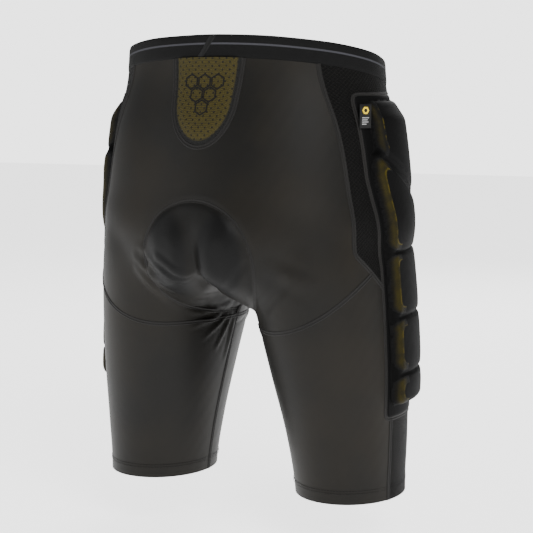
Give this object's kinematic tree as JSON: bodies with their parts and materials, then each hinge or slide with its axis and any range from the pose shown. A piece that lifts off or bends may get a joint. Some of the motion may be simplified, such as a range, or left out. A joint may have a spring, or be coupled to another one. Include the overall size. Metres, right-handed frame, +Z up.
{
  "type": "padded impact shorts",
  "caption": "Knee-length stretch shorts with foam impact pads pocketed at the hips, thighs and tailbone, a seat pad and a knitted waistband.",
  "frame": {"origin": "centre of the waist opening", "axes": "+Z up towards the wearer's head, -Y the way the wearer faces, +X the wearer's left"},
  "size_m": [0.3918, 0.2744, 0.5008],
  "materials": {
    "waist_elastic": "ribbed knitted elastic with one woven grey line",
    "stretch_jersey": "satin warp-knit nylon and elastane",
    "side_mesh": "open diamond warp-knit mesh",
    "pocket_jersey": "smooth matte stretch jersey",
    "lower_side_knit": "fine piqué knit",
    "pad_foam": "yellow perforated foam",
    "window_net": "fine black net",
    "liner_tricot": "brushed tricot liner",
    "seat_pad_fleece": "brushed seat pad face",
    "gloss_tab": "glossy bonded film",
    "woven_label": "damask woven label"
  },
  "bodies": {
    "pelvis": {"waistband": "waist_elastic", "waist_tab": "gloss_tab", "seat_panel": "stretch_jersey", "front_panel": "stretch_jersey", "tail_window_net": "window_net", "tail_pad": "pad_foam", "tail_pad_liner": "liner_tricot", "chamois_base": "seat_pad_fleece", "chamois_lobes": "seat_pad_fleece", "left_side_mesh": "side_mesh", "left_hip_pad": "pad_foam", "right_side_mesh": "side_mesh", "right_hip_pad": "pad_foam"},
    "left_leg": {"left_pad_liner": "liner_tricot", "left_thigh_pad_1": "pad_foam", "left_thigh_pad_2": "pad_foam", "left_thigh_pad_3": "pad_foam", "left_thigh_pad_4": "pad_foam", "left_pad_pocket": "pocket_jersey", "left_back_leg_panel": "stretch_jersey", "left_front_leg_panel": "stretch_jersey", "left_lower_side_panel": "lower_side_knit", "left_hem_facing": "stretch_jersey"},
    "right_leg": {"right_pad_liner": "liner_tricot", "right_thigh_pad_1": "pad_foam", "right_thigh_pad_2": "pad_foam", "right_thigh_pad_3": "pad_foam", "right_thigh_pad_4": "pad_foam", "right_pad_pocket": "pocket_jersey", "right_back_leg_panel": "stretch_jersey", "right_front_leg_panel": "stretch_jersey", "right_lower_side_panel": "lower_side_knit", "right_hem_facing": "stretch_jersey"},
    "label": {"label_tab": "woven_label"}
  },
  "joints": [
    {"name": "left_hip", "type": "hinge", "parent": "pelvis", "child": "left_leg", "pos_m": [0.094, 0, -0.19], "axis": [-1, 0, 0], "range_deg": [-15, 60], "deforming": ["seat_panel", "front_panel", "chamois_base", "chamois_lobes", "left_side_mesh", "left_pad_liner", "left_pad_pocket", "left_thigh_pad_1"]},
    {"name": "right_hip", "type": "hinge", "parent": "pelvis", "child": "right_leg", "pos_m": [-0.094, 0, -0.19], "axis": [-1, 0, 0], "range_deg": [-15, 60], "deforming": ["seat_panel", "front_panel", "chamois_base", "chamois_lobes", "right_side_mesh", "right_pad_liner", "right_pad_pocket", "right_thigh_pad_1"]},
    {"name": "label_flap", "type": "hinge", "parent": "pelvis", "child": "label", "pos_m": [-0.148, 0.0525, -0.0645], "axis": [0, 0, -1], "range_deg": [0, 120]}
  ]
}
